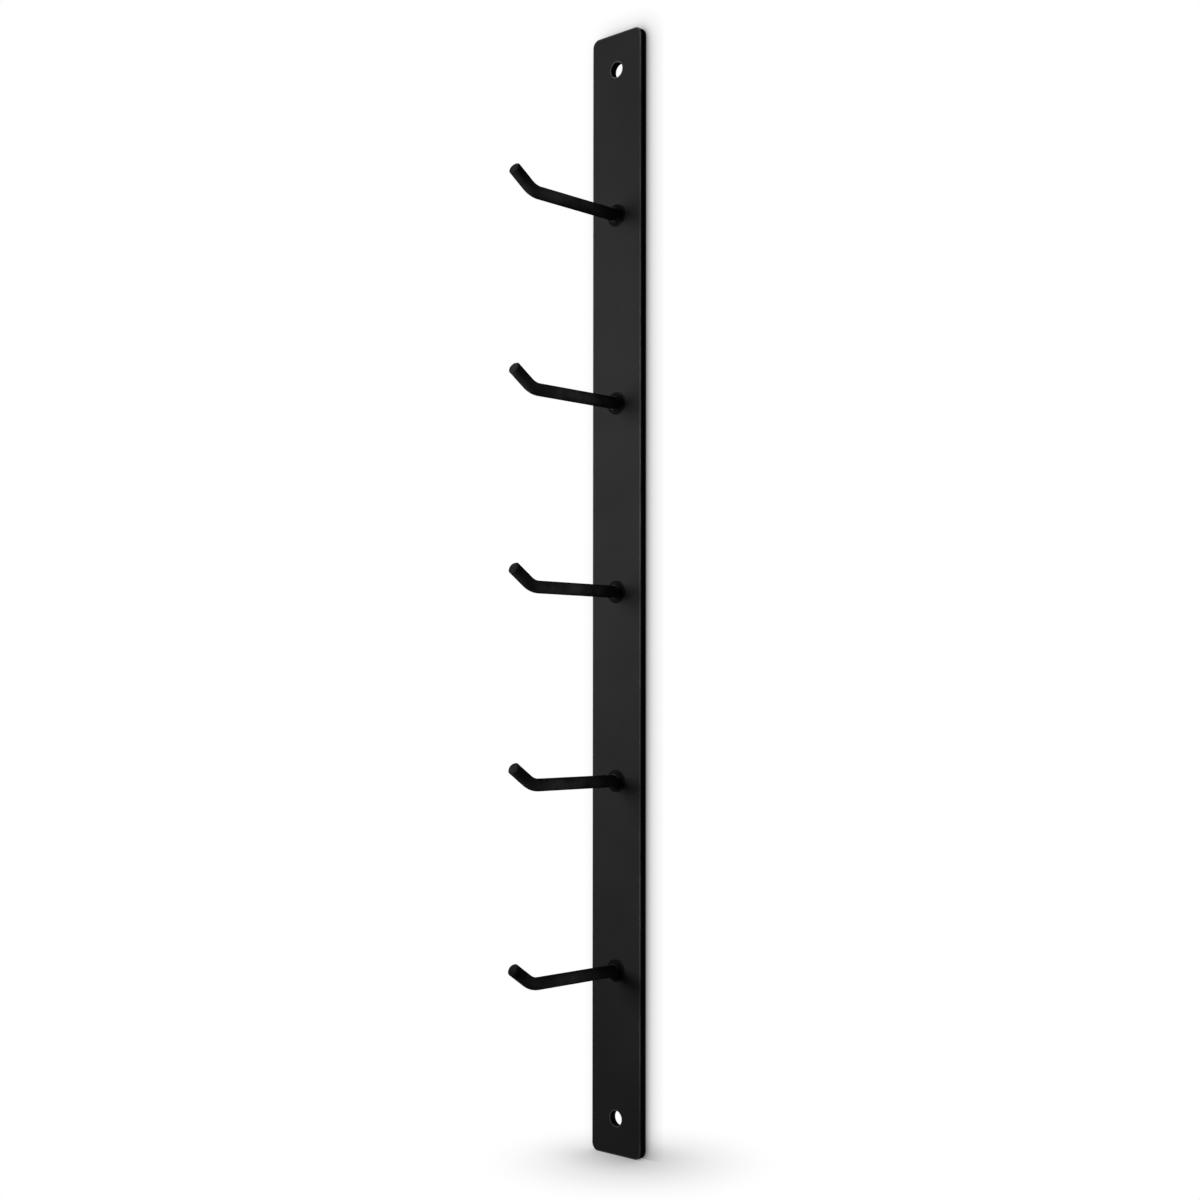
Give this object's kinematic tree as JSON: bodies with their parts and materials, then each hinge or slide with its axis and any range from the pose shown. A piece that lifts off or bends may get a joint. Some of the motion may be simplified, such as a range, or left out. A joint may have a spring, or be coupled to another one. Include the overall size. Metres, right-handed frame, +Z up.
{
  "type": "wall cue rack",
  "caption": "Upright flat steel bar for a wall, with a row of round pegs welded along it whose ends turn up to hold cues.",
  "frame": {"origin": "middle of the bar's back face, midway between the two wall holes", "axes": "+Z up along the bar, +Y into the wall, the pegs stand out towards -Y, +X to the right seen from the front"},
  "size_m": [0.05, 0.1181, 0.862],
  "materials": {
    "bar_coat": "matte black powder coat",
    "peg_coat": "matte black powder coat",
    "weld_coat": "matte black powder coat over weld metal"
  },
  "bodies": {
    "root": {"back_plate": "bar_coat", "peg_1": "peg_coat", "peg_2": "peg_coat", "peg_3": "peg_coat", "peg_4": "peg_coat", "peg_5": "peg_coat", "front_weld_1": "weld_coat", "front_weld_2": "weld_coat", "front_weld_3": "weld_coat", "front_weld_4": "weld_coat", "front_weld_5": "weld_coat", "rear_weld_1": "weld_coat", "rear_weld_2": "weld_coat", "rear_weld_3": "weld_coat", "rear_weld_4": "weld_coat", "rear_weld_5": "weld_coat"}
  },
  "joints": []
}
